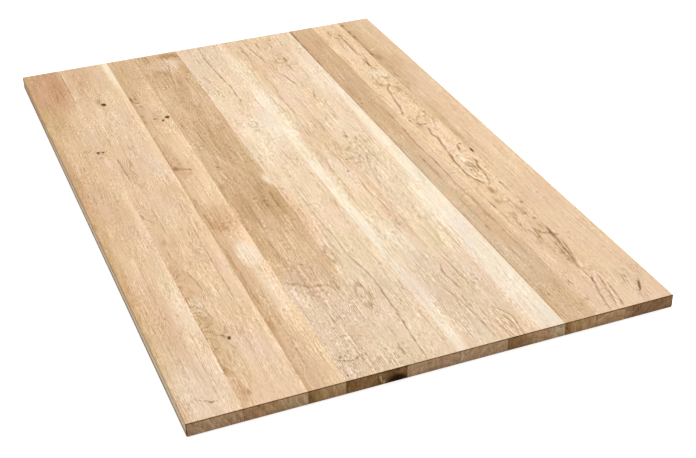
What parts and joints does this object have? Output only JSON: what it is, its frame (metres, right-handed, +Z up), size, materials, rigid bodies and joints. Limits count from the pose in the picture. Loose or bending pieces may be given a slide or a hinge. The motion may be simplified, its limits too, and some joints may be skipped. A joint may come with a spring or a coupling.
{
  "type": "solid wood table top",
  "caption": "Flat rectangular oak table top, edge-glued from full-length staves, with eased edges; laid on a table frame or legs.",
  "frame": {"origin": "centre of the underside", "axes": "+Z up through the thickness, +Y along the grain from the near end to the far end, +X across the staves from stave_1 to stave_10"},
  "size_m": [0.9, 1.4, 0.026],
  "materials": {
    "stave_1": "planed and sanded oak, unvarnished matt, pinkish tan",
    "stave_2": "planed and sanded oak, unvarnished matt, pinkish tan",
    "stave_3": "planed and sanded oak, unvarnished matt, warm tan",
    "stave_4": "planed and sanded oak, unvarnished matt, brown tan",
    "stave_5": "planed and sanded oak, unvarnished matt, cream",
    "stave_6": "planed and sanded oak, unvarnished matt, pale cream",
    "stave_7": "planed and sanded oak, unvarnished matt, cream",
    "stave_8": "planed and sanded oak, unvarnished matt, brown tan",
    "stave_9": "planed and sanded oak, unvarnished matt, warm tan",
    "stave_10": "planed and sanded oak, unvarnished matt, pinkish tan"
  },
  "bodies": {
    "root": {"stave_1": "stave_1", "stave_2": "stave_2", "stave_3": "stave_3", "stave_4": "stave_4", "stave_5": "stave_5", "stave_6": "stave_6", "stave_7": "stave_7", "stave_8": "stave_8", "stave_9": "stave_9", "stave_10": "stave_10"}
  },
  "joints": []
}
